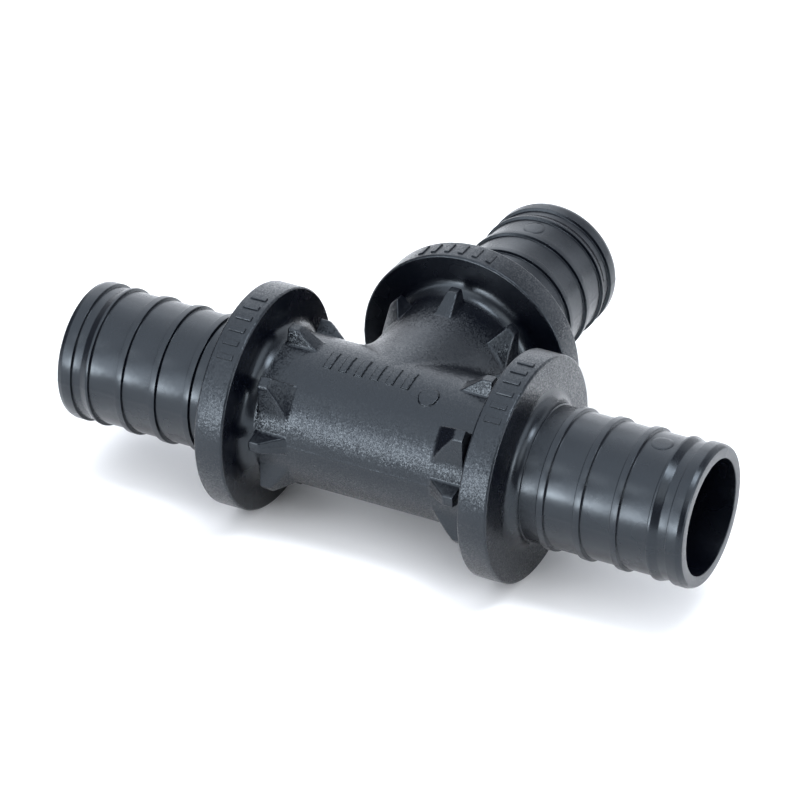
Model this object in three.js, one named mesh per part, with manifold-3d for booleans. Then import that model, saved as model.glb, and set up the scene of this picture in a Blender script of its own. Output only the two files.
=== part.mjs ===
// Tee fitting for compression-sleeve pipe systems, pipe size 32 x 4.4, in millimetres.
//
// The real fitting is one hollow injection moulding. It is drawn here as its working zones, each a
// closed solid that meets its neighbours on flat planes square to the bore:
//   tee_core        middle of the run barrel, with the branch blended into it
//   lug_crown_*     barrel section with eight wedge lugs, in front of a collar
//   collar_*        neck fillet and thrust collar
//   spigot_*        tail with five sealing rings that goes into the pipe
//
// Axes: +X along the run, +Y along the branch, +Z up. The fitting lies on its three collars.
// Origin: on the surface that it lies on, below the middle of its outline.

import * as THREE from 'three';
import { mergeVertices } from 'three/addons/utils/BufferGeometryUtils.js';
import Module from 'manifold-3d';

const wasm = await Module();
wasm.setup();

// ---- Driving dimensions ------------------------------------------------------------------------

const boreR = 10.9;             // waterway, the same in all three arms
const barrelR = 13.9;           // outside of the tee body
const blendR = 5.4;             // rolling-ball blend between branch and run

const collarR = 21.5;
const collarThickness = 5.85;
const collarEdge = 0.6;         // chamfer on both rims of a collar
const neckFillet = 3.0;         // from the barrel up to the inner face of a collar
const runStop = 24.0;           // axis crossing to the inner face of a run collar
const branchStop = 29.35;       // axis crossing to the inner face of the branch collar

const spigotLength = 34.35;     // outer face of the collar to the tip
const spigotR = 12.85;          // between the rings
const rootFillet = 2.3;         // from the spigot up to the outer face of its collar
const rootR = 13.1;             // foot of that fillet, where a small step leads down to the spigot
const rootStep = 0.12;
const ringR = 13.4;             // crest of a sealing ring
const ringWidth = 1.64;
const ringFlank = 0.18;         // length of the steep face on either side of a ring
const firstRing = 5.76;         // collar face to the first ring
const ringPitch = 7.2;
const plainRings = 3;           // the fourth ring slopes down towards the tip
const slopedCrest = 0.45;
const slopedFall = 1.45;
const tipRing = 31.1;           // collar face to the ring at the tip
const noseLength = 1.1;         // from the crest of the tip ring to the tip face
const noseShoulder = 0.3;       // the nose tapers, then turns in over this length
const noseShoulderR = 13.15;
const noseR = 12.85;            // outside of the tip face
const mouthChamfer = 0.15;

const lugGap = 3.0;             // clear space between a lug and the collar behind it
const lugHeadR = 16.85;         // flat head of a lug, measured from the bore's axis
const lugHeadHalfWidth = 1.05;
const lugHeadLength = 2.15;
const lugRampLength = 4.0;
const uprightLugFoot = 2.1;     // half width of an upright lug at its root
const diagonalLugWall = 13.0;   // straight wall of a diagonal lug, from the bore's axis
const diagonalLugDraft = 0.35;  // how much its other wall leans outwards
const lugRootR = 12.3;          // lugs start inside the barrel wall

const sides = 40;               // facets round a turned surface
const blendSteps = 5;
const filletSteps = 4;
const barrelSteps = 2;          // strips along each straight part of the body

// ---- Worked-out dimensions ---------------------------------------------------------------------

const lugLength = lugHeadLength + lugRampLength;
const crownLength = lugLength + 0.25;
const runBodyEnd = runStop - lugGap;
const branchBodyEnd = branchStop - lugGap;
const runCoreEnd = runBodyEnd - crownLength;
const branchCoreEnd = branchBodyEnd - crownLength;
const branchReach = branchStop + collarThickness + spigotLength;
const axisY = -(branchReach - collarR) / 2;
const beyond = 2 * branchReach; // further than any surface

// ---- Material ----------------------------------------------------------------------------------

const blackPlastic = () => new THREE.MeshStandardMaterial({
  color: 0x23262b,
  roughness: 0.5,
  metalness: 0.0,
});

// ---- Helpers -----------------------------------------------------------------------------------

// The same surface with shared vertices, and without the triangles that this closes up.
function welded(geometry) {
  const bare = geometry.clone();
  bare.deleteAttribute('normal');
  bare.deleteAttribute('uv');
  const merged = mergeVertices(bare, 1e-5);
  const corners = [];
  for (let i = 0; i < merged.index.count; i += 3) {
    const [a, b, c] = merged.index.array.slice(i, i + 3);
    if (a !== b && b !== c && c !== a) {
      corners.push(a, b, c);
    }
  }
  merged.setIndex(corners);
  return merged;
}

function toSolid(geometry) {
  const closed = welded(geometry);
  return new wasm.Manifold(new wasm.Mesh({
    numProp: 3,
    vertProperties: new Float32Array(closed.attributes.position.array),
    triVerts: new Uint32Array(closed.index.array),
  }));
}

function toGeometry(solid) {
  const mesh = solid.getMesh();
  const geometry = new THREE.BufferGeometry();
  geometry.setAttribute('position', new THREE.BufferAttribute(mesh.vertProperties, 3));
  geometry.setIndex(new THREE.BufferAttribute(mesh.triVerts, 1));
  geometry.computeVertexNormals();
  return geometry;
}

// Turned ring about the X axis. The outline is a closed loop of [x, radius], with x rising
// along its outer side.
function turned(outline) {
  const loop = [...outline, outline[0]];
  const points = loop.map(([x, radius]) => new THREE.Vector2(radius, x));
  const geometry = new THREE.LatheGeometry(points, sides);
  geometry.rotateZ(-Math.PI / 2);
  return welded(geometry);
}

// Outline points of a fillet, from one angle to another.
function fillet(centreX, centreR, radius, fromAngle, toAngle) {
  const points = [];
  for (let i = 0; i <= filletSteps; i += 1) {
    const angle = fromAngle + (toAngle - fromAngle) * i / filletSteps;
    points.push([centreX + radius * Math.cos(angle), centreR + radius * Math.sin(angle)]);
  }
  return points;
}

// ---- Spigot: x = 0 on the outer face of its collar ----------------------------------------------

function plainRing(start) {
  return [
    [start, spigotR],
    [start + ringFlank, ringR],
    [start + ringWidth - ringFlank, ringR],
    [start + ringWidth, spigotR],
  ];
}

function slopedRing(start) {
  return [
    [start, spigotR],
    [start + ringFlank, ringR],
    [start + ringFlank + slopedCrest, ringR],
    [start + ringFlank + slopedCrest + slopedFall, spigotR],
  ];
}

function spigotGeometry() {
  const rings = [];
  for (let i = 0; i < plainRings; i += 1) {
    rings.push(...plainRing(firstRing + i * ringPitch));
  }
  return turned([
    [0, boreR],
    ...fillet(rootFillet, rootR + rootFillet, rootFillet, Math.PI, 1.5 * Math.PI),
    [rootFillet + rootStep, spigotR],
    ...rings,
    ...slopedRing(firstRing + plainRings * ringPitch),
    [tipRing, spigotR],
    [tipRing + ringFlank, ringR],
    [spigotLength - noseLength, ringR],
    [spigotLength - noseShoulder, noseShoulderR],
    [spigotLength, noseR],
    [spigotLength, boreR + mouthChamfer],
    [spigotLength - mouthChamfer, boreR],
  ]);
}

// ---- Collar with its neck: x = 0 on the collar's inner face -------------------------------------

function collarGeometry() {
  return turned([
    [-lugGap, boreR],
    ...fillet(-neckFillet, barrelR + neckFillet, neckFillet, 1.5 * Math.PI, 2 * Math.PI),
    [0, collarR - collarEdge],
    [collarEdge, collarR],
    [collarThickness - collarEdge, collarR],
    [collarThickness, collarR - collarEdge],
    [collarThickness, rootR + rootFillet],
    [collarThickness, boreR],
  ]);
}

// ---- Lugs: x = 0 at the end that faces the collar, barrel towards -x ----------------------------

// Prism along the barrel, from its outline in the lug's own plane of [sideways, radius].
function lugPrism(outline) {
  const shape = new THREE.Shape(outline.map(([sideways, radius]) => new THREE.Vector2(sideways, radius)));
  const geometry = new THREE.ExtrudeGeometry(shape, { depth: lugLength, bevelEnabled: false });
  geometry.applyMatrix4(new THREE.Matrix4().makeBasis(
    new THREE.Vector3(0, 1, 0),
    new THREE.Vector3(0, 0, 1),
    new THREE.Vector3(1, 0, 0),
  ));
  geometry.translate(-lugLength, 0, 0);
  return toSolid(geometry);
}

// Turned blank that the lugs are cut from: its cone gives them their ramps down to the barrel. It
// stands a little higher than the lugs' flat heads.
function rampBlank() {
  const rise = (lugHeadR - barrelR) / lugRampLength;
  return toSolid(turned([
    [-lugLength, lugRootR],
    [-lugLength, barrelR],
    [-lugHeadLength + 0.2, lugHeadR + 0.2 * rise],
    [0, lugHeadR + 0.2 * rise],
    [0, lugRootR],
  ]));
}

// Both walls of an upright lug lean in the same way.
function uprightLug() {
  return lugPrism([
    [-uprightLugFoot, lugRootR],
    [uprightLugFoot, lugRootR],
    [lugHeadHalfWidth, lugHeadR],
    [-lugHeadHalfWidth, lugHeadR],
  ]);
}

// A diagonal lug has a straight wall towards the mould's parting plane, square to that plane.
function diagonalLug() {
  const wallAt = (radius) => radius - diagonalLugWall * Math.SQRT2;
  const headEdge = wallAt(lugHeadR) + 2 * lugHeadHalfWidth;
  return lugPrism([
    [wallAt(lugRootR), lugRootR],
    [headEdge + diagonalLugDraft, lugRootR],
    [headEdge, lugHeadR],
    [wallAt(lugHeadR), lugHeadR],
  ]);
}

function lugCrown() {
  const upright = uprightLug();
  const back = diagonalLug().rotate([-45, 0, 0]);
  const upper = back.add(back.mirror([0, 1, 0]));
  let crown = upper.add(upper.mirror([0, 0, 1]));
  for (let quarter = 0; quarter < 4; quarter += 1) {
    crown = crown.add(upright.rotate([90 * quarter, 0, 0]));
  }
  return crown.intersect(rampBlank());
}

// ---- Body: barrels, blend and lugs, with the axes crossing at the origin -----------------------

// One level of the body's outside, as a closed loop. The level angle runs from straight down
// (-90 degrees) to straight up. The two inner corners are arcs on a ball that rolls along both
// barrels.
function bodyLevel(levelAngle) {
  const up = Math.sin(levelAngle);
  const out = Math.cos(levelAngle);
  const reach = barrelR + blendR;
  const ball = new THREE.Vector3(reach * out, reach * out, reach * up);
  const toRun = new THREE.Vector3(0, -out, -up);
  const toBranch = new THREE.Vector3(-out, 0, -up);
  const spread = toRun.angleTo(toBranch);

  const corner = [];
  for (let i = 0; i <= blendSteps; i += 1) {
    const share = i / blendSteps;
    const runPart = spread > 1e-6 ? Math.sin((1 - share) * spread) / Math.sin(spread) : 1;
    const branchPart = spread > 1e-6 ? Math.sin(share * spread) / Math.sin(spread) : 0;
    corner.push(ball.clone()
      .addScaledVector(toRun, blendR * runPart)
      .addScaledVector(toBranch, blendR * branchPart));
  }

  const front = [];
  const back = [];
  const branch = [];
  for (let i = 0; i < barrelSteps; i += 1) {
    const share = i / barrelSteps;
    const x = runBodyEnd + (ball.x - runBodyEnd) * share;
    front.push(new THREE.Vector3(x, -barrelR * out, barrelR * up));
    back.push(new THREE.Vector3(x, barrelR * out, barrelR * up));
    const y = branchBodyEnd + (ball.y - branchBodyEnd) * share;
    branch.push(new THREE.Vector3(barrelR * out, y, barrelR * up));
  }
  front.push(new THREE.Vector3(ball.x, -barrelR * out, barrelR * up));

  const rightHalf = [...front.reverse(), ...back, ...corner, ...branch.reverse()];
  const leftHalf = rightHalf.map((point) => new THREE.Vector3(-point.x, point.y, point.z));
  return [...rightHalf, ...leftHalf.reverse()];
}

function bodySkin() {
  const levels = [];
  for (let i = 0; i <= sides / 2; i += 1) {
    levels.push(bodyLevel(Math.PI * (i / (sides / 2) - 0.5)));
  }
  const count = levels[0].length;
  const index = [];
  for (let low = 0; low < count * (levels.length - 1); low += count) {
    const high = low + count;
    for (let i = 0; i < count; i += 1) {
      const next = (i + 1) % count;
      index.push(low + i, low + next, high + next);
      index.push(low + i, high + next, high + i);
    }
  }
  const skin = new THREE.BufferGeometry().setFromPoints(levels.flat());
  skin.setIndex(index);
  return toSolid(skin);
}

function boreCylinder() {
  const geometry = new THREE.CylinderGeometry(boreR, boreR, beyond, sides);
  geometry.rotateZ(-Math.PI / 2);
  return toSolid(geometry);
}

function bodySolid() {
  const crown = lugCrown();
  const run = boreCylinder();
  return bodySkin()
    .add(crown.translate([runBodyEnd, 0, 0]))
    .add(crown.translate([runBodyEnd, 0, 0]).rotate([0, 0, 180]))
    .add(crown.translate([branchBodyEnd, 0, 0]).rotate([0, 0, 90]))
    .subtract(run)
    .subtract(run.translate([beyond / 2, 0, 0]).rotate([0, 0, 90]));
}

// The part of the body between two x planes and two y planes.
function bodyZone(body, fromX, toX, fromY, toY) {
  const block = new THREE.BoxGeometry(toX - fromX, toY - fromY, beyond);
  block.translate((fromX + toX) / 2, (fromY + toY) / 2, 0);
  return toGeometry(body.intersect(toSolid(block)));
}

// ---- Assembly ----------------------------------------------------------------------------------

const tee = new THREE.Group();
tee.position.set(0, axisY, collarR);

function addPiece(parent, name, geometry, x = 0) {
  const mesh = new THREE.Mesh(geometry, blackPlastic());
  mesh.name = name;
  mesh.position.x = x;
  parent.add(mesh);
}

// Collar and spigot of one arm, drawn along +X from the inner face of the collar.
function addArm(name, direction, stop) {
  const arm = new THREE.Group();
  arm.rotation.z = direction;
  addPiece(arm, `collar_${name}`, collarGeometry(), stop);
  addPiece(arm, `spigot_${name}`, spigotGeometry(), stop + collarThickness);
  tee.add(arm);
}

const body = bodySolid();
addPiece(tee, 'tee_core', bodyZone(body, -runCoreEnd, runCoreEnd, -beyond, branchCoreEnd));
addPiece(tee, 'lug_crown_right', bodyZone(body, runCoreEnd, beyond, -beyond, branchCoreEnd));
addPiece(tee, 'lug_crown_left', bodyZone(body, -beyond, -runCoreEnd, -beyond, branchCoreEnd));
addPiece(tee, 'lug_crown_branch', bodyZone(body, -beyond, beyond, branchCoreEnd, beyond));
addArm('right', 0, runStop);
addArm('left', Math.PI, runStop);
addArm('branch', Math.PI / 2, branchStop);

export default tee;
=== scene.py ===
"""Looks of the tee fitting: one fine mesh for each CAD node, black polymer, plain studio.

Lengths below are millimetres in the fitting's own frame until scaled by MM. The body and its lugs
are a distance field, turned into quads and moved onto the exact surface. Collars and spigots are
turned from outlines with rounded corners.
"""

import math

import bmesh
import bpy
import numpy as np
from mathutils import Matrix, Vector


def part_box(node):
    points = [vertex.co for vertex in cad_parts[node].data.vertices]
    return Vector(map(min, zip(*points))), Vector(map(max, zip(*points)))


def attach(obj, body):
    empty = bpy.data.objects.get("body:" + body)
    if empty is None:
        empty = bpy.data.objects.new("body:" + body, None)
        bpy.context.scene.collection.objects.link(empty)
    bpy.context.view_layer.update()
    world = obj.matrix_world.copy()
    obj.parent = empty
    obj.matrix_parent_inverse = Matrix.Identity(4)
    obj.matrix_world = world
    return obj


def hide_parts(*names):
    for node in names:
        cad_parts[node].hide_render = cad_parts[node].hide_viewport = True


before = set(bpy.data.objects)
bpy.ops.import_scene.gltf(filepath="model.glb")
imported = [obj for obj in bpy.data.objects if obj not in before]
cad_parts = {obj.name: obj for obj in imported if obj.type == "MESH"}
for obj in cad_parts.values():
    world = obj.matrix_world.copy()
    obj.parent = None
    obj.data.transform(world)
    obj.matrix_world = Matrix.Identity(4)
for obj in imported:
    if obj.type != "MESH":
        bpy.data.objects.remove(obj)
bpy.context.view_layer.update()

MM = 0.001

# ---- Sizes read from the frame -------------------------------------------------------------------


def span(node, axis):
    """Lowest and highest coordinate of a CAD node along an axis, in millimetres."""
    low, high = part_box(node)
    return low[axis] / MM, high[axis] / MM


axis_z = sum(span("collar_right", 2)) / 2
axis_y = sum(span("collar_right", 1)) / 2
crossing = np.array([0.0, axis_y, axis_z])

core_end = span("tee_core", 0)[1]
body_end = span("lug_crown_right", 0)[1]
collar_outer = span("collar_right", 0)[1]
tip_end = span("spigot_right", 0)[1]
branch_core_end = span("tee_core", 1)[1] - axis_y
branch_shift = span("collar_branch", 1)[1] - axis_y - collar_outer
collar_radius = (span("collar_right", 2)[1] - span("collar_right", 2)[0]) / 2
spigot_length = tip_end - collar_outer

# ---- Sizes of the moulding -----------------------------------------------------------------------

BORE = 10.9
BARREL = 13.9
BLEND = 5.4                # ball that rolls between run and branch
COLLAR_THICKNESS = 5.85
COLLAR_EDGE = 0.5          # rounding of a collar's rims
INNER_FACE_WITHIN = 0.02   # a face of a collar this near its inner face belongs to it
NECK = 3.0                 # fillet from the barrel up to a collar
SPIGOT = 12.85
ROOT = 2.3                 # fillet from a spigot up to its collar
ROOT_FOOT = 13.1           # radius at the foot of that fillet, above a small step
ROOT_STEP = 0.12
ROOT_STEP_EDGE = 0.08      # rounding at the foot of the step
RING = 13.4
RING_WIDTH = 1.64
RING_FLANK = 0.18          # length of the steep face on either side of a ring
RING_EDGE = 0.09           # rounding where a ring's crest meets a flank
RING_FOOT = 0.14           # rounding where a flank meets the spigot
FIRST_RING = 5.76
RING_PITCH = 7.2
PLAIN_RINGS = 3
SLOPED_CREST = 0.45        # the fourth ring slopes down towards the tip
SLOPED_FALL = 1.45
SLOPE_TOP = 0.6            # rounding at the top and at the bottom of that slope
SLOPE_BOTTOM = 0.8
TIP_RING = 31.1
NOSE = 1.1                 # from the crest of the tip ring to the tip face
NOSE_TOP = 0.9             # rounding where the nose begins
NOSE_SHOULDER = 0.3
SHOULDER = 13.15
SHOULDER_EDGE = 0.25
NOSE_FACE = 12.85
NOSE_FACE_EDGE = 0.12
MOUTH = 0.15               # rounding inside the mouth
PARTING = 0.055            # height of the faint parting line at the level of the axes
PARTING_WIDTH = 0.3
PARTING_INNER = 11.9       # the turned pieces have the line only outside this radius

LUG_HEAD = 16.85
LUG_HEAD_HALF = 1.05
LUG_HEAD_LENGTH = 2.15
LUG_RAMP = 4.0
LUG_FOOT_HALF = 2.1        # half width of an upright lug at its root
LUG_ROOT = 12.3
DIAGONAL_WALL = 13.0       # straight wall of a diagonal lug, from the bore's axis
DIAGONAL_DRAFT = 0.35
LUG_EDGE = 0.2             # rounding of a lug's edges
LUG_FILLET = 0.3           # fillet where a lug meets the barrel

MARK_HEIGHT = 0.28         # plain raised bars and a pip stand where the real part has lettering
MARK_EDGE = 0.1
BODY_BARS = 6              # on top of the run's barrel
BODY_BAR_FROM = -10.9
BODY_BAR_PITCH = 3.2
BODY_BAR_WIDTH = 1.5
BODY_BAR_SIDE = -2.7       # middle of the row, from the run's axis
BODY_BAR_LENGTH = 4.4
PIP_PLACE = (10.2, -5.2)
PIP_RADIUS = 1.9
RIM_BARS = 6               # on the rim of each collar
RIM_BAR_PITCH = 2.9
RIM_BAR_WIDTH = 1.1
RIM_BAR_LENGTH = 3.2
# Middle of the row on each rim, in degrees over the top: from the back (+Y) on the run's collars
# and from the left (-X) on the branch's.
RIM_MIDDLE = {"right": 108, "left": 112, "branch": 82}
EJECTOR_RADIUS = 2.1       # round mark left by an ejector pin, on top of two spigots
EJECTOR_PLACE = 24.4       # from the outer face of the collar
EJECTOR_HEIGHT = 0.05
EJECTOR_ARMS = ("right", "branch")
PATCH_SINK = 0.3           # how far a raised bar or pad goes into the piece that it stands on
BAR_INSETS = (0.0, 0.03, 0.13)
DISC_SIDES = 48

SEAM = 0.6                 # the body's mesh runs this far past the lugs into the neck
CELL = 0.25
CELL_OFFSET = 0.37         # shifts the grid by this share of a cell, off the flat faces
TURNED_SIDES = 224
ARC_STEPS = 12
SHARP_ANGLE = 35           # edges of turned pieces stay sharp above this, in degrees
FAR = 1e3                  # value of a distance field where it isn't worked out

# ---- Distance field of the body, with the axes crossing at the origin ---------------------------


def round_and(fields, radius):
    """Intersection of fields, with the edge rounded."""
    spill = np.sqrt(sum(np.maximum(f + radius, 0.0) ** 2 for f in fields))
    return np.minimum(-radius, np.maximum.reduce(fields)) + spill


def round_or(a, b, radius):
    """Union of two fields, with the corner filleted."""
    spill = np.hypot(np.maximum(radius - a, 0.0), np.maximum(radius - b, 0.0))
    return np.maximum(radius, np.minimum(a, b)) - spill


def barrel(along, radius):
    """Barrel of one arm, with the start of its neck fillet past the end of the body."""
    past = np.clip(along - body_end, 0.0, NECK)
    return radius - (BARREL + NECK - np.sqrt(NECK ** 2 - past ** 2))


def nearest_on_ellipse(u, v, a, b):
    """Angle of the point nearest to (u, v), both positive, on an ellipse with half axes a and b."""
    angle = np.arctan2(v * a, u * b)
    for _ in range(6):
        c, s = np.cos(angle), np.sin(angle)
        slope = (a * a - b * b) * c * s - a * u * s + b * v * c
        turn = (a * a - b * b) * (c * c - s * s) - a * u * c - b * v * s
        step = slope / np.where(np.abs(turn) < 1e-9, -1e-9, turn)
        angle = np.clip(angle - np.clip(step, -0.3, 0.3), 0.0, math.pi / 2)
    return angle


def tee_field(x, y, z):
    """Run and branch barrels, with a ball of radius BLEND rolled along the corner between them."""
    x, height = np.abs(x), np.abs(z)
    run = barrel(x, np.hypot(y, z))
    branch = np.maximum(barrel(y - branch_shift, np.hypot(x, z)), -y)
    plain = np.minimum(run, branch)
    reach = BARREL + BLEND
    near = (y > 0) & (x < reach + 2) & (y < reach + 2) & (plain > -1.5) & (plain < BLEND)
    px, py, pz = x[near], y[near], height[near]
    level = nearest_on_ellipse((px + py) / math.sqrt(2), pz, math.sqrt(2) * reach, reach)
    out, up = np.cos(level), np.sin(level)
    dx, dy, dz = px - reach * out, py - reach * out, pz - reach * up
    distance = np.sqrt(dx * dx + dy * dy + dz * dz)
    across = (dx - dy) / math.sqrt(2)
    inward = -(dx + dy) * out - 2 * dz * up
    touching = (np.abs(across) <= distance * out / math.sqrt(2)) & (inward > 0)
    plain[near] = np.where(touching, BLEND - distance, plain[near])
    return plain


def lug(along, radius, high, walls):
    """Barrel with one lug: walls, a flat head, and a conical ramp that falls to the barrel."""
    foot = body_end - LUG_HEAD_LENGTH - LUG_RAMP
    rise = LUG_HEAD - BARREL
    ramp = ((radius - BARREL) * LUG_RAMP - (along - foot) * rise) / math.hypot(rise, LUG_RAMP)
    solid = round_and([along - body_end, high - LUG_HEAD, ramp, *walls], LUG_EDGE)
    return round_or(radius - BARREL, solid, LUG_FILLET)


def lugs(along, side, up):
    """The eight lugs of one arm. side is square to the arm in the parting plane."""
    side, up = np.abs(side), np.abs(up)
    near = (along > body_end - LUG_HEAD_LENGTH - LUG_RAMP - 2) & (along < body_end + 2)
    field = np.full(along.shape, FAR)
    along, side, up = along[near], side[near], up[near]
    radius = np.hypot(side, up)
    lean = (LUG_FOOT_HALF - LUG_HEAD_HALF) / (LUG_HEAD - LUG_ROOT)
    found = np.full(along.shape, FAR)
    for high, wide in ((up, side), (side, up)):
        wall = (wide - LUG_HEAD_HALF - (LUG_HEAD - high) * lean) / math.hypot(1, lean)
        found = np.minimum(found, lug(along, radius, high, [wall]))
    high, across = (side + up) / math.sqrt(2), (up - side) / math.sqrt(2)
    head_edge = LUG_HEAD - DIAGONAL_WALL * math.sqrt(2) + 2 * LUG_HEAD_HALF
    draft = DIAGONAL_DRAFT / (LUG_HEAD - LUG_ROOT)
    far_wall = (across - head_edge - (LUG_HEAD - high) * draft) / math.hypot(1, draft)
    found = np.minimum(found, lug(along, radius, high, [side - DIAGONAL_WALL, far_wall]))
    field[near] = found
    return field


def marks(x, y, z):
    """Plain raised bars and a round pip on top of the run's barrel."""
    field = np.full(x.shape, FAR)
    near = (z > 0) & (np.abs(y) < 8) & (np.abs(x) < 14)
    x, y, z = x[near], y[near], z[near]
    top = np.hypot(y, z) - BARREL - MARK_HEIGHT
    place = np.clip(np.round((x - BODY_BAR_FROM) / BODY_BAR_PITCH), 0, BODY_BARS - 1)
    across = np.abs(x - BODY_BAR_FROM - place * BODY_BAR_PITCH) - BODY_BAR_WIDTH / 2
    lengthwise = np.abs(y - BODY_BAR_SIDE) - BODY_BAR_LENGTH / 2
    bars = round_and([top, across, lengthwise], MARK_EDGE)
    pip = round_and([top, np.hypot(x - PIP_PLACE[0], y - PIP_PLACE[1]) - PIP_RADIUS], MARK_EDGE)
    field[near] = np.minimum(bars, pip)
    return field


def body_field(points):
    """Signed distance to the tee's body, negative in the wall."""
    x, y, z = points[:, 0], points[:, 1], points[:, 2]
    outside = np.minimum(tee_field(x, y, z), lugs(np.abs(x), y, z))
    outside = np.minimum(outside, lugs(y - branch_shift, x, z))
    outside = np.minimum(outside, marks(x, y, z))
    outside = outside - PARTING * np.exp(-(z / PARTING_WIDTH) ** 2)
    bores = np.minimum(np.hypot(y, z), np.where(y > 0, np.hypot(x, z), FAR)) - BORE
    return np.maximum(outside, -bores)


def slope_of(field, points):
    """Gradient of a field, by central differences."""
    reach = 0.01
    columns = []
    for axis in range(3):
        offset = np.zeros(3)
        offset[axis] = reach
        columns.append((field(points + offset) - field(points - offset)) / (2 * reach))
    return np.stack(columns, 1)


def surface_net(field, low, high, cell):
    """Quads round the zero level of a field: one vertex in each cell that the surface crosses."""
    axes = [np.arange(low[i], high[i] + cell, cell) for i in range(3)]
    shape = tuple(len(a) for a in axes)
    values = np.empty(shape)
    for i, x in enumerate(axes[0]):
        y, z = np.meshgrid(axes[1], axes[2], indexing="ij")
        flat = np.stack([np.full(y.size, x), y.ravel(), z.ravel()], 1)
        values[i] = field(flat).reshape(shape[1:])
    inside = values < 0
    cells = tuple(n - 1 for n in shape)
    corners = [(i, j, k) for i in (0, 1) for j in (0, 1) for k in (0, 1)]

    def at(block, corner):
        return block[tuple(slice(c, c + n) for c, n in zip(corner, cells))]

    count = sum(at(inside, c).astype(np.int8) for c in corners)
    active = np.argwhere((count > 0) & (count < 8))
    total = np.zeros((len(active), 3))
    hits = np.zeros(len(active))
    for a in corners:
        for axis in range(3):
            if a[axis]:
                continue
            b = tuple(1 if i == axis else a[i] for i in range(3))
            va = values[tuple((active + a).T)]
            vb = values[tuple((active + b).T)]
            cross = (va < 0) != (vb < 0)
            share = np.where(cross, va / np.where(cross, va - vb, 1.0), 0.0)
            point = np.array(a, float) + share[:, None] * (np.array(b) - np.array(a))
            total += np.where(cross[:, None], point, 0.0)
            hits += cross
    points = (active + total / hits[:, None]) * cell + [a[0] for a in axes]
    number = np.full(cells, -1, np.int64)
    number[tuple(active.T)] = np.arange(len(active))

    quads = []
    for axis in range(3):
        one, two = (axis + 1) % 3, (axis + 2) % 3
        step = np.eye(3, dtype=int)
        lower = [slice(0, -1) if i == axis else slice(1, -1) for i in range(3)]
        upper = [slice(1, None) if i == axis else slice(1, -1) for i in range(3)]
        start, end = inside[tuple(lower)], inside[tuple(upper)]
        edges = np.argwhere(start != end)
        solid_first = start[tuple(edges.T)]
        base = edges + 1
        base[:, axis] -= 1
        ring = [base, base - step[one], base - step[one] - step[two], base - step[two]]
        quad = np.stack([number[tuple(corner.T)] for corner in ring], 1)
        quad[~solid_first] = quad[~solid_first][:, ::-1]
        quads.append(quad)
    return points, np.concatenate(quads)


def onto_surface(field, points):
    """Points moved along the gradient until they lie on the field's surface."""
    for _ in range(4):
        slope = slope_of(field, points)
        size = np.maximum((slope ** 2).sum(1), 0.05)
        move = slope * (field(points) / size)[:, None]
        length = np.linalg.norm(move, axis=1, keepdims=True)
        points = points - move * np.minimum(1.0, 0.5 * CELL / np.maximum(length, 1e-12))
    return points


# ---- Pieces from meshes --------------------------------------------------------------------------


def new_object(name, bm):
    """Object from a bmesh in millimetres about the crossing, moved to the frame in metres."""
    bm.transform(Matrix.Scale(MM, 4) @ Matrix.Translation(Vector(crossing)))
    mesh = bpy.data.meshes.new(name)
    bm.to_mesh(mesh)
    bm.free()
    obj = bpy.data.objects.new(name, mesh)
    bpy.context.scene.collection.objects.link(obj)
    return obj


def cut_zone(points, quads, planes):
    """The part of the body's quads between planes, as a closed bmesh."""
    keep = np.ones(len(quads), bool)
    for co, no in planes:
        side = (points - co) @ no
        keep &= (side[quads] < 2 * CELL).any(1)
    used, local = np.unique(quads[keep], return_inverse=True)
    bm = bmesh.new()
    verts = [bm.verts.new(p) for p in points[used]]
    for quad in local.reshape(-1, 4):
        bm.faces.new([verts[i] for i in quad])
    for co, no in planes:
        geometry = bm.verts[:] + bm.edges[:] + bm.faces[:]
        cut = bmesh.ops.bisect_plane(
            bm, geom=geometry, dist=1e-5, plane_co=co, plane_no=no, clear_outer=True)
        rim = [e for e in cut["geom_cut"] if isinstance(e, bmesh.types.BMEdge)]
        bmesh.ops.triangle_fill(bm, use_beauty=True, edges=rim, normal=Vector(no))
    bmesh.ops.recalc_face_normals(bm, faces=bm.faces[:])
    return bm


def shade_body(obj, planes):
    """Smooth shading with the field's own normals, and flat cut faces."""
    mesh = obj.data
    count = len(mesh.vertices)
    co = np.empty(count * 3)
    mesh.vertices.foreach_get("co", co)
    co = co.reshape(-1, 3) / MM - crossing
    slope = slope_of(body_field, co)
    slope /= np.maximum(np.linalg.norm(slope, axis=1, keepdims=True), 1e-9)
    corners = np.empty(len(mesh.loops), np.int32)
    mesh.loops.foreach_get("vertex_index", corners)
    face_start = np.empty(len(mesh.polygons), np.int32)
    face_count = np.empty(len(mesh.polygons), np.int32)
    normals = np.empty(len(mesh.polygons) * 3)
    centres = np.empty(len(mesh.polygons) * 3)
    mesh.polygons.foreach_get("loop_start", face_start)
    mesh.polygons.foreach_get("loop_total", face_count)
    mesh.polygons.foreach_get("normal", normals)
    mesh.polygons.foreach_get("center", centres)
    centres = centres.reshape(-1, 3) / MM - crossing
    normals = normals.reshape(-1, 3)
    on_cut = np.zeros(len(mesh.polygons), bool)
    for plane_co, plane_no in planes:
        on_cut |= (np.abs((centres - plane_co) @ plane_no) < 1e-4) & (normals @ plane_no > 0.99)
    per_corner = slope[corners]
    per_face = np.repeat(normals, face_count, axis=0)
    flat = np.repeat(on_cut, face_count)
    per_corner[flat] = per_face[flat]
    mesh.polygons.foreach_set("use_smooth", np.ones(len(mesh.polygons), bool))
    mesh.normals_split_custom_set(per_corner.tolist())


def arc(centre_x, centre_r, radius, start, end, count):
    """Outline points on an arc, angles in degrees."""
    found = []
    for i in range(count + 1):
        angle = math.radians(start + (end - start) * i / count)
        found.append((centre_x + radius * math.cos(angle), centre_r + radius * math.sin(angle)))
    return found


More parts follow.
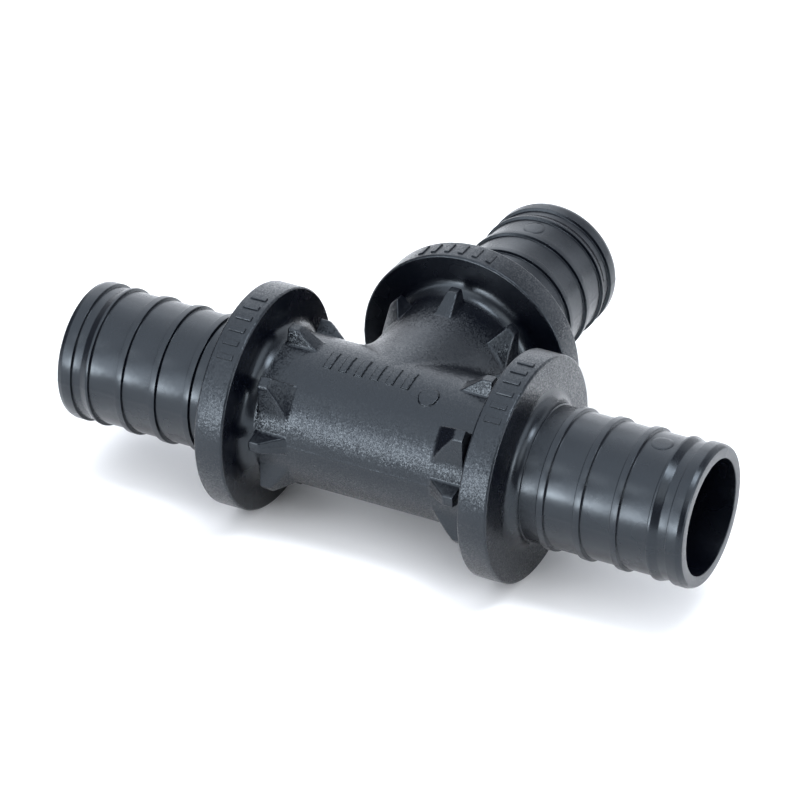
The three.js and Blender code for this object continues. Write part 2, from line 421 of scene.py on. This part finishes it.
def rounded(corners, steps=5):
    """Outline with its corners rounded. Each corner is (x, radius, rounding)."""
    found = []
    count = len(corners)
    for i, (x, r, rounding) in enumerate(corners):
        here = np.array([x, r])
        if rounding == 0:
            found.append((x, r))
            continue
        before = np.array(corners[i - 1][:2]) - here
        after = np.array(corners[(i + 1) % count][:2]) - here
        before /= np.linalg.norm(before)
        after /= np.linalg.norm(after)
        half = 0.5 * math.acos(max(-1.0, min(1.0, float(before @ after))))
        middle = (before + after) / np.linalg.norm(before + after)
        centre = here + middle * rounding / math.sin(half)
        first = here + before * rounding / math.tan(half) - centre
        last = here + after * rounding / math.tan(half) - centre
        turn = math.pi - 2 * half
        for k in range(steps + 1):
            share = k / steps
            a = math.sin((1 - share) * turn) / math.sin(turn)
            b = math.sin(share * turn) / math.sin(turn)
            found.append(tuple(centre + a * first + b * last))
    return found


def turned(name, outline, place, extras=()):
    """Object turned from a closed outline about the X axis, then put in place.

    It gets a faint parting line, and extras are (points, faces) joined to it by a union.
    """
    bm = bmesh.new()
    rings = []
    for i in range(TURNED_SIDES):
        angle = 2 * math.pi * i / TURNED_SIDES
        c, s = math.cos(angle), math.sin(angle)
        ridge = PARTING if i % (TURNED_SIDES // 2) == 0 else 0.0
        row = []
        for x, r in outline:
            wide = r + ridge if r > PARTING_INNER else r
            row.append(bm.verts.new((x, wide * c, wide * s)))
        rings.append(row)
    for i, ring in enumerate(rings):
        after = rings[(i + 1) % TURNED_SIDES]
        for k in range(len(outline)):
            m = (k + 1) % len(outline)
            bm.faces.new((ring[k], ring[m], after[m], after[k]))
    bm.transform(place)
    bmesh.ops.recalc_face_normals(bm, faces=bm.faces[:])
    obj = new_object(name, bm)
    if extras:
        join(obj, extras, place)
    obj.data.polygons.foreach_set("use_smooth", np.ones(len(obj.data.polygons), bool))
    obj.data.set_sharp_from_angle(angle=math.radians(SHARP_ANGLE))
    return obj


def join(obj, extras, place):
    """Union of an object with small closed solids."""
    bm = bmesh.new()
    for points, faces in extras:
        verts = [bm.verts.new(p) for p in points]
        for face in faces:
            bm.faces.new([verts[i] for i in face])
    bm.transform(place)
    bmesh.ops.recalc_face_normals(bm, faces=bm.faces[:])
    tool = new_object("join_tool", bm)
    modifier = obj.modifiers.new("join", "BOOLEAN")
    modifier.operation = "UNION"
    modifier.solver = "MANIFOLD"
    modifier.object = tool
    depsgraph = bpy.context.evaluated_depsgraph_get()
    shaped = bpy.data.meshes.new_from_object(obj.evaluated_get(depsgraph))
    obj.modifiers.clear()
    old = obj.data
    obj.data = shaped
    shaped.name = old.name
    bpy.data.meshes.remove(old)
    tool_mesh = tool.data
    bpy.data.objects.remove(tool)
    bpy.data.meshes.remove(tool_mesh)


def raised_patch(loops, radius, height, angle, along):
    """Solid that stands on a turned surface of the X axis.

    loops are outlines of (along the axis, round the surface), the first one at the foot.
    """
    count = len(loops[0])
    levels = [-PATCH_SINK, height * 0.6] + [height] * (len(loops) - 2)
    points = []
    for level, loop in zip(levels, loops):
        for u, v in loop:
            turn = angle + v / radius
            r = radius + level
            points.append((along + u, r * math.cos(turn), r * math.sin(turn)))
    last = len(points) - count
    faces = [list(range(count)), list(range(last, len(points)))]
    for low in range(0, last, count):
        for i in range(count):
            k = (i + 1) % count
            faces.append([low + i, low + k, low + count + k, low + count + i])
    return points, faces


def bar_loops(length, width):
    """Outlines of a bar along the axis, drawn in towards its top."""
    loops = []
    for inset in BAR_INSETS:
        a, b = length / 2 - inset, width / 2 - inset
        loops.append([(-a, -b), (a, -b), (a, 0.0), (a, b), (-a, b), (-a, 0.0)])
    return loops


def disc_loops(radius):
    """Outlines of a round pad, some of them near its middle so that it follows the turning."""
    turns = [2 * math.pi * i / DISC_SIDES for i in range(DISC_SIDES)]
    loops = []
    for inset in (0.0, 0.02, 0.06, 0.3 * radius, 0.6 * radius, 0.9 * radius):
        r = radius - inset
        loops.append([(r * math.cos(t), r * math.sin(t)) for t in turns])
    return loops


# ---- Outlines ------------------------------------------------------------------------------------


def spigot_outline():
    """Spigot, with x = 0 on the outer face of its collar."""
    corners = [(ROOT + ROOT_STEP, SPIGOT, ROOT_STEP_EDGE)]
    for i in range(PLAIN_RINGS):
        start = FIRST_RING + i * RING_PITCH
        end = start + RING_WIDTH
        corners.append((start, SPIGOT, RING_FOOT))
        corners.append((start + RING_FLANK, RING, RING_EDGE))
        corners.append((end - RING_FLANK, RING, RING_EDGE))
        corners.append((end, SPIGOT, RING_FOOT))
    start = FIRST_RING + PLAIN_RINGS * RING_PITCH
    slope = start + RING_FLANK + SLOPED_CREST
    corners.append((start, SPIGOT, RING_FOOT))
    corners.append((start + RING_FLANK, RING, RING_EDGE))
    corners.append((slope, RING, SLOPE_TOP))
    corners.append((slope + SLOPED_FALL, SPIGOT, SLOPE_BOTTOM))
    corners.append((TIP_RING, SPIGOT, RING_FOOT))
    corners.append((TIP_RING + RING_FLANK, RING, RING_EDGE))
    corners.append((spigot_length - NOSE, RING, NOSE_TOP))
    corners.append((spigot_length - NOSE_SHOULDER, SHOULDER, SHOULDER_EDGE))
    corners.append((spigot_length, NOSE_FACE, NOSE_FACE_EDGE))
    corners.append((spigot_length, BORE, MOUTH))
    root = arc(ROOT, ROOT_FOOT + ROOT, ROOT, 180, 270, ARC_STEPS)
    shaped = rounded([(ROOT, ROOT_FOOT, 0), *corners, (0, BORE, 0)])
    return [*root[:-1], *shaped]


def collar_outline():
    """Neck and collar, with x = 0 on the collar's inner face."""
    neck_from = 270 + math.degrees(math.asin(SEAM / NECK))
    neck = arc(-NECK, BARREL + NECK, NECK, neck_from, 360, ARC_STEPS)
    collar = rounded([
        (0, BARREL + NECK, 0),
        (0, collar_radius, COLLAR_EDGE),
        (COLLAR_THICKNESS, collar_radius, COLLAR_EDGE),
        (COLLAR_THICKNESS, ROOT_FOOT + ROOT, 0),
        (COLLAR_THICKNESS, BORE, 0),
        (SEAM - NECK, BORE, 0),
    ], 6)
    return [*neck[:-1], *collar]


ARMS = {
    "right": Matrix.Identity(4),
    "left": Matrix.Scale(-1, 4, Vector((1, 0, 0))),
    "branch": Matrix.Translation((0, branch_shift, 0)) @ Matrix.Rotation(math.pi / 2, 4, "Z"),
}

# ---- Materials -----------------------------------------------------------------------------------

POLYMER_BLACK = (0.0008, 0.0012, 0.003)
POLYMER_SHINE = (0.80, 0.91, 1.0)
CLOUD_SIZE = 7             # patches of slightly different gloss
GLOSSIER = 0.03            # how far those patches go below and above the roughness
DULLER = 0.04


def polymer(name, roughness, facet, tilt):
    """Black polymer, with slow changes in gloss.

    Its surface is made of tiny facets, about facet millimetres across, which lean by up to tilt.
    """
    material = bpy.data.materials.new(name)
    material.use_nodes = True
    tree = material.node_tree
    nodes, links = tree.nodes, tree.links
    shader = nodes["Principled BSDF"]
    shader.inputs["Base Color"].default_value = (*POLYMER_BLACK, 1)
    shader.inputs["Specular IOR Level"].default_value = 0.44
    shader.inputs["Specular Tint"].default_value = (*POLYMER_SHINE, 1)
    place = nodes.new("ShaderNodeTexCoord")

    cloudy = nodes.new("ShaderNodeTexNoise")
    cloudy.inputs["Scale"].default_value = 1 / (CLOUD_SIZE * MM)
    cloudy.inputs["Detail"].default_value = 3.0
    links.new(place.outputs["Object"], cloudy.inputs["Vector"])
    gloss = nodes.new("ShaderNodeMapRange")
    gloss.inputs["From Min"].default_value = 0.3
    gloss.inputs["From Max"].default_value = 0.7
    gloss.inputs["To Min"].default_value = roughness - GLOSSIER
    gloss.inputs["To Max"].default_value = roughness + DULLER
    links.new(cloudy.outputs["Fac"], gloss.inputs["Value"])
    links.new(gloss.outputs["Result"], shader.inputs["Roughness"])

    facets = nodes.new("ShaderNodeTexVoronoi")
    facets.inputs["Scale"].default_value = 1 / (facet * MM)
    links.new(place.outputs["Object"], facets.inputs["Vector"])
    lean = nodes.new("ShaderNodeVectorMath")
    lean.operation = "MULTIPLY_ADD"
    lean.inputs[1].default_value = (2 * tilt, 2 * tilt, 2 * tilt)
    lean.inputs[2].default_value = (-tilt, -tilt, -tilt)
    links.new(facets.outputs["Color"], lean.inputs[0])
    surface = nodes.new("ShaderNodeNewGeometry")
    leaning = nodes.new("ShaderNodeVectorMath")
    leaning.operation = "ADD"
    links.new(surface.outputs["Normal"], leaning.inputs[0])
    links.new(lean.outputs["Vector"], leaning.inputs[1])
    unit = nodes.new("ShaderNodeVectorMath")
    unit.operation = "NORMALIZE"
    links.new(leaning.outputs["Vector"], unit.inputs[0])
    links.new(unit.outputs["Vector"], shader.inputs["Normal"])
    return material


grained = polymer("grained_polymer", roughness=0.29, facet=0.21, tilt=0.115)
satin = polymer("satin_polymer", roughness=0.26, facet=0.6, tilt=0.012)


def finish_piece(obj, node, material):
    """One material, and the place of a CAD node in the frame."""
    obj.data.materials.clear()
    obj.data.materials.append(material)
    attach(obj, "root")
    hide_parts(node)


# ---- Body ----------------------------------------------------------------------------------------

reach_x = body_end + 1.5
low = np.array([-reach_x, -LUG_HEAD - 1, -LUG_HEAD - 1])
high = np.array([reach_x, body_end + branch_shift + 1.5, LUG_HEAD + 1])
points, quads = surface_net(body_field, low - CELL_OFFSET * CELL, high, CELL)
points = onto_surface(body_field, points)


def plane(axis, place, sign):
    """Cutting plane as (point, outward direction)."""
    co, no = np.zeros(3), np.zeros(3)
    co[axis] = place
    no[axis] = sign
    return co, no


zones = {
    "tee_core": [plane(0, core_end, 1), plane(0, -core_end, -1), plane(1, branch_core_end, 1)],
    "lug_crown_right": [plane(0, core_end, -1), plane(0, body_end + SEAM, 1)],
    "lug_crown_left": [plane(0, -core_end, 1), plane(0, -body_end - SEAM, -1)],
    "lug_crown_branch": [
        plane(1, branch_core_end, -1), plane(1, body_end + branch_shift + SEAM, 1)],
}
for node, planes in zones.items():
    if node != "lug_crown_branch" and node != "tee_core":
        planes = [*planes, plane(1, branch_core_end, 1)]
    piece = new_object(node + "_moulding", cut_zone(points, quads, planes))
    shade_body(piece, planes)
    finish_piece(piece, node, grained)

# ---- Collars and spigots -------------------------------------------------------------------------


def polish_neck(collar, place):
    """Smooth polymer on the neck and on the inner face of a collar, which is at x = 0."""
    collar.data.materials.append(satin)
    to_collar = place.inverted()
    for face in collar.data.polygons:
        middle = to_collar @ (face.center / MM - Vector(crossing))
        if middle.x < INNER_FACE_WITHIN:
            face.material_index = 1


for arm, place in ARMS.items():
    bars = []
    for i in range(RIM_BARS):
        from_middle = (i - (RIM_BARS - 1) / 2) * RIM_BAR_PITCH
        angle = math.radians(RIM_MIDDLE[arm]) + from_middle / collar_radius
        loops = bar_loops(RIM_BAR_LENGTH, RIM_BAR_WIDTH)
        bars.append(raised_patch(loops, collar_radius, MARK_HEIGHT, angle, COLLAR_THICKNESS / 2))
    at_collar = place @ Matrix.Translation((body_end + NECK, 0, 0))
    collar = turned(f"collar_{arm}_moulding", collar_outline(), at_collar, bars)
    finish_piece(collar, f"collar_{arm}", grained)
    polish_neck(collar, at_collar)

    pads = []
    if arm in EJECTOR_ARMS:
        loops = disc_loops(EJECTOR_RADIUS)
        pads.append(raised_patch(loops, SPIGOT, EJECTOR_HEIGHT, math.pi / 2, EJECTOR_PLACE))
    at_spigot = place @ Matrix.Translation((collar_outer, 0, 0))
    spigot = turned(f"spigot_{arm}_moulding", spigot_outline(), at_spigot, pads)
    finish_piece(spigot, f"spigot_{arm}", satin)

# ---- Studio --------------------------------------------------------------------------------------

FLOOR_HALF = 0.5           # metres from the middle of the square floor to its sides
FLOOR_DROP = 0.00005       # metres, so that the floor doesn't share a plane with the fitting

floor_bm = bmesh.new()
bmesh.ops.create_grid(floor_bm, x_segments=8, y_segments=8, size=FLOOR_HALF)
floor_mesh = bpy.data.meshes.new("studio_floor")
floor_bm.to_mesh(floor_mesh)
floor_bm.free()
floor = bpy.data.objects.new("studio_floor", floor_mesh)
floor.location.z = -FLOOR_DROP
bpy.context.scene.collection.objects.link(floor)
floor_material = bpy.data.materials.new("pale_floor")
floor_material.use_nodes = True
floor_shader = floor_material.node_tree.nodes["Principled BSDF"]
floor_shader.inputs["Base Color"].default_value = (0.95, 0.95, 0.95, 1)
floor_shader.inputs["Roughness"].default_value = 0.8
floor_shader.inputs["Specular IOR Level"].default_value = 0.1
floor.data.materials.append(floor_material)


def direction(azimuth, elevation):
    """Unit vector from the object: azimuth 0 is in front (-Y), 90 to the right (+X)."""
    a, e = math.radians(azimuth), math.radians(elevation)
    return Vector((math.sin(a) * math.cos(e), -math.cos(a) * math.cos(e), math.sin(e)))


centre = Vector(crossing) * MM


def softbox(name, azimuth, elevation, distance, width, height, radiance):
    """Rectangular light of a given radiance, facing the crossing of the axes."""
    light = bpy.data.lights.new(name, "AREA")
    light.shape = "RECTANGLE"
    light.size, light.size_y = width, height
    light.energy = radiance * math.pi * width * height
    lamp = bpy.data.objects.new(name, light)
    towards = direction(azimuth, elevation)
    lamp.location = centre + towards * distance
    lamp.rotation_mode = "QUATERNION"
    lamp.rotation_quaternion = towards.to_track_quat("Z", "Y")
    bpy.context.scene.collection.objects.link(lamp)
    return lamp


# Lights the white surface from straight above. It is left out of reflections, which have the glow
# of the overhead softbox instead.
table_light = softbox("table_light", 0, 89, 1.0, 0.9, 0.9, 0.72)
table_light.visible_glossy = False

# The studio's softboxes and white walls, as glows a long way off: azimuth, elevation, full within
# and gone beyond (all in degrees), radiance, colour. The last two are an even fill from all round,
# and white below the horizon, where a low view looks past the edge of the floor.
NEUTRAL = (0.99, 1.0, 1.02)
COOL = (0.96, 1.0, 1.07)
GLOWS = (
    (-18, 2, 1, 8, 14.5, NEUTRAL),
    (-12, 10, 2, 14, 4.4, NEUTRAL),
    (-30, 4, 8, 34, 4.4, COOL),
    (-20, 42, 2, 12, 2.6, NEUTRAL),
    (85, 80, 2, 12, 7.8, COOL),
    (90, 68, 2, 12, 7.2, COOL),
    (60, 78, 2, 12, 5.5, COOL),
    (-10, 88, 2, 12, 4.8, COOL),
    (80, 8, 2, 12, 9.0, NEUTRAL),
    (96, 22, 6, 30, 2.5, COOL),
    (46, 46, 4, 24, 2.8, NEUTRAL),
    (-20, -3, 3, 14, 5.0, NEUTRAL),
    (-45, 54, 8, 34, 2.0, COOL),
    (-135, 54, 8, 34, 1.8, COOL),
    (-150, 4, 8, 34, 1.4, COOL),
    (150, 4, 8, 34, 0.9, COOL),
    (-165, 28, 8, 34, 0.8, COOL),
    (150, 28, 8, 34, 0.6, COOL),
    (0, 90, 0, 180, 0.3, COOL),
    (0, -90, 84, 88, 1.9, NEUTRAL),
)

world = bpy.data.worlds.new("studio")
bpy.context.scene.world = world
world.use_nodes = True
nodes, links = world.node_tree.nodes, world.node_tree.links
sky_place = nodes.new("ShaderNodeTexCoord")


def glow(azimuth, elevation, inner, outer, radiance, colour):
    """Background shader that is at its brightest within inner degrees of a direction."""
    dot = nodes.new("ShaderNodeVectorMath")
    dot.operation = "DOT_PRODUCT"
    dot.inputs[1].default_value = direction(azimuth, elevation)
    links.new(sky_place.outputs["Generated"], dot.inputs[0])
    fade = nodes.new("ShaderNodeMapRange")
    fade.interpolation_type = "SMOOTHSTEP"
    fade.inputs["From Min"].default_value = math.cos(math.radians(outer))
    fade.inputs["From Max"].default_value = math.cos(math.radians(inner))
    fade.inputs["To Max"].default_value = radiance
    links.new(dot.outputs["Value"], fade.inputs["Value"])
    light = nodes.new("ShaderNodeBackground")
    light.inputs["Color"].default_value = (*colour, 1)
    links.new(fade.outputs["Result"], light.inputs["Strength"])
    return light.outputs[0]


total = nodes["Background"].outputs[0]
nodes["Background"].inputs["Color"].default_value = (0, 0, 0, 1)
for values in GLOWS:
    both = nodes.new("ShaderNodeAddShader")
    links.new(total, both.inputs[0])
    links.new(glow(*values), both.inputs[1])
    total = both.outputs[0]
links.new(total, nodes["World Output"].inputs["Surface"])

# ---- Camera --------------------------------------------------------------------------------------

CAMERA_LENS = 195.43       # with a sensor 36 wide
CAMERA_AZIMUTH = 27.51
CAMERA_ELEVATION = 31.71
CAMERA_ROLL = -0.23
CAMERA_DISTANCE = 800.2
CAMERA_SHIFT = (1.44, 5.61)     # to the camera's right and up, from the crossing of the axes

camera_data = bpy.data.cameras.new("camera")
camera_data.sensor_width = 36.0
camera_data.lens = CAMERA_LENS
camera_data.clip_start = 0.01
camera_data.clip_end = 20.0
camera = bpy.data.objects.new("camera", camera_data)
bpy.context.scene.collection.objects.link(camera)
back = direction(CAMERA_AZIMUTH, CAMERA_ELEVATION)
right = direction(CAMERA_AZIMUTH + 90, 0)
up = back.cross(right)
roll = math.radians(CAMERA_ROLL)
camera_x = right * math.cos(roll) + up * math.sin(roll)
camera_y = up * math.cos(roll) - right * math.sin(roll)
aside = camera_x * CAMERA_SHIFT[0] + camera_y * CAMERA_SHIFT[1]
pose = Matrix((camera_x, camera_y, back)).transposed().to_4x4()
pose.translation = centre + (aside + back * CAMERA_DISTANCE) * MM
camera.matrix_world = pose
bpy.context.scene.camera = camera
bpy.context.scene.view_settings.view_transform = "Standard"
